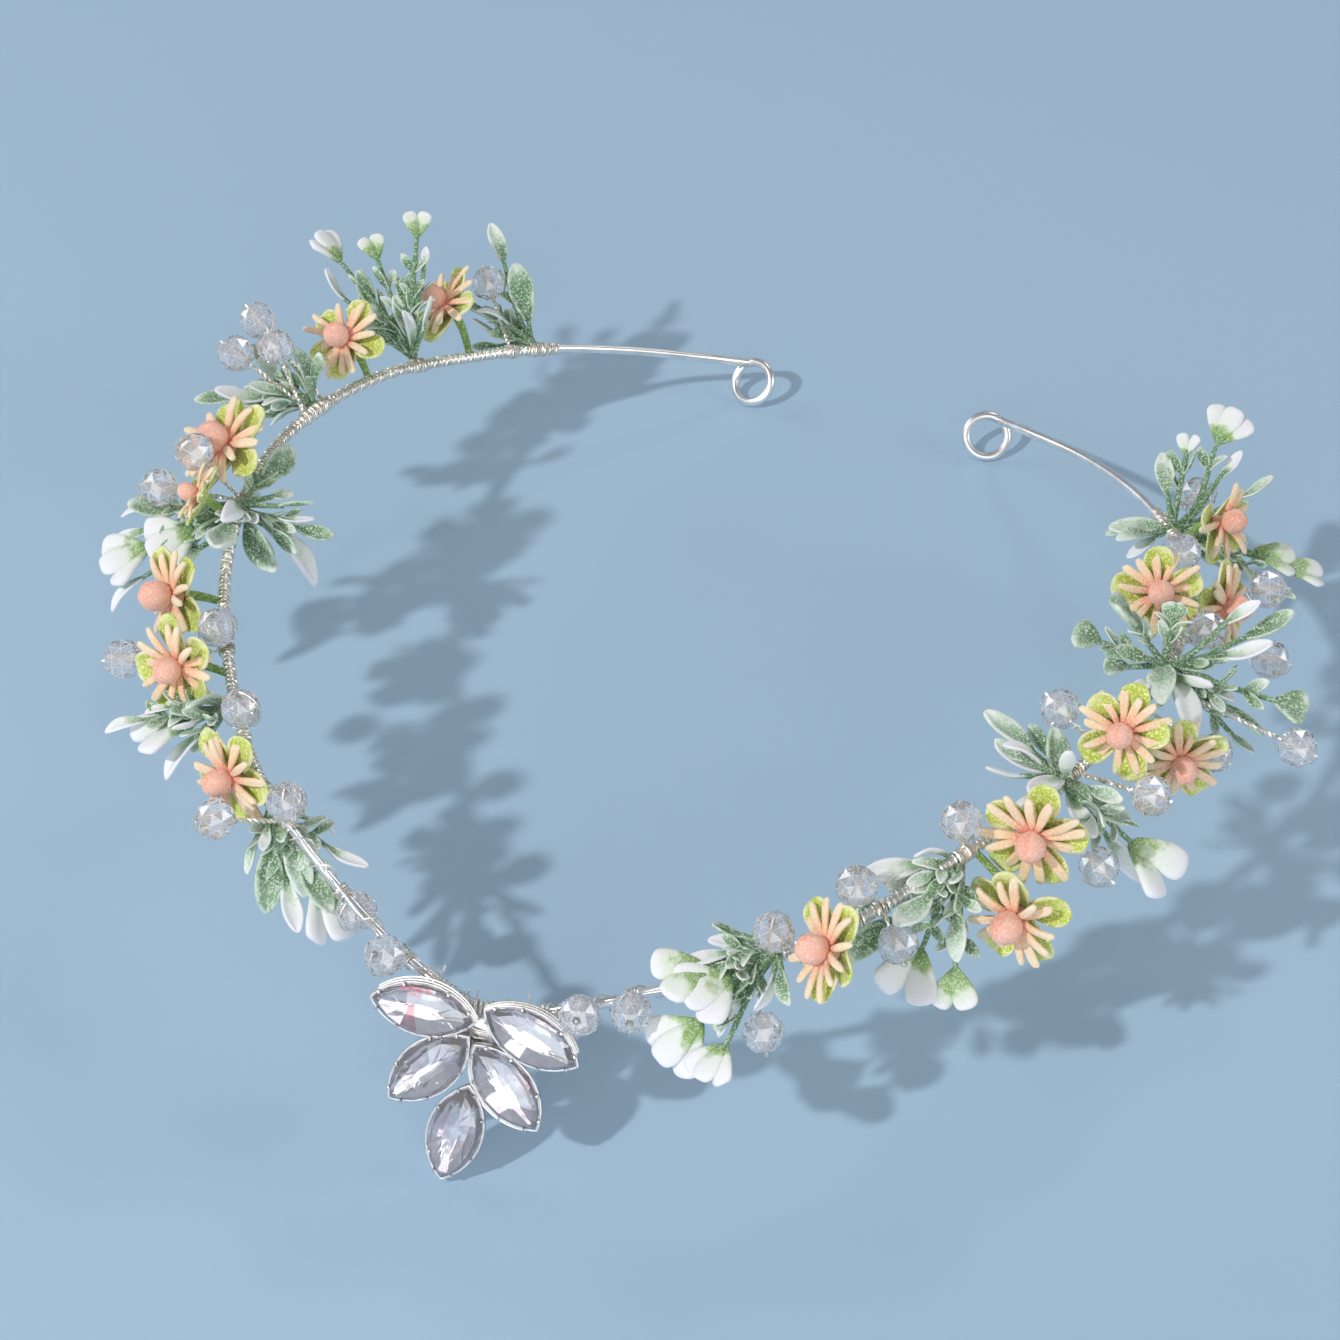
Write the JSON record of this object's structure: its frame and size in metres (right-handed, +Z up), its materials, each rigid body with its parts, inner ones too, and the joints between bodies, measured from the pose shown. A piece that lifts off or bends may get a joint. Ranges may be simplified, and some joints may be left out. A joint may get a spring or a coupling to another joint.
{
  "type": "leaf headband",
  "caption": "Silver wire forehead headband with sage leaf sprays, peach flowers, clear glass beads and a fan of marquise crystals at its V.",
  "frame": {"origin": "middle of the bounding box, on the table that the headband rests on", "axes": "+X is to the right seen from the front, +Y from the V of the band back towards the ribbon loops, and +Z up from the table"},
  "size_m": [0.1854, 0.1846, 0.0497],
  "materials": {
    "silver_wire": "polished, faintly warm",
    "silver_setting": "polished",
    "crystal": "cut and foil backed",
    "peach_petals": "matt, grainy",
    "sage_leaves": "flocked, frosted at the edges",
    "clear_glass": "cut and polished"
  },
  "bodies": {
    "root": {"band": "silver_wire", "bead_wires": "silver_wire", "pendant_setting": "silver_setting", "stone_1": "crystal", "stone_2": "crystal", "stone_3": "crystal", "stone_4": "crystal", "stone_5": "crystal", "flower_01": "peach_petals", "flower_02": "peach_petals", "flower_03": "peach_petals", "flower_04": "peach_petals", "flower_05": "peach_petals", "flower_06": "peach_petals", "flower_07": "peach_petals", "flower_08": "peach_petals", "flower_09": "peach_petals", "flower_10": "peach_petals", "flower_11": "peach_petals", "flower_12": "peach_petals", "flower_13": "peach_petals", "flower_14": "peach_petals", "flower_15": "peach_petals", "spray_01": "sage_leaves", "spray_02": "sage_leaves", "spray_03": "sage_leaves", "spray_04": "sage_leaves", "spray_05": "sage_leaves", "spray_06": "sage_leaves", "spray_07": "sage_leaves", "spray_08": "sage_leaves", "spray_09": "sage_leaves", "spray_10": "sage_leaves", "bead_01": "clear_glass", "bead_02": "clear_glass", "bead_03": "clear_glass", "bead_04": "clear_glass", "bead_05": "clear_glass", "bead_06": "clear_glass", "bead_07": "clear_glass", "bead_08": "clear_glass", "bead_09": "clear_glass", "bead_10": "clear_glass", "bead_11": "clear_glass", "bead_12": "clear_glass", "bead_13": "clear_glass", "bead_14": "clear_glass", "bead_15": "clear_glass", "bead_16": "clear_glass", "bead_17": "clear_glass", "bead_18": "clear_glass", "bead_19": "clear_glass", "bead_20": "clear_glass", "bead_21": "clear_glass", "bead_22": "clear_glass", "bead_23": "clear_glass", "bead_24": "clear_glass", "bead_25": "clear_glass", "bead_26": "clear_glass", "bead_27": "clear_glass"}
  },
  "joints": []
}
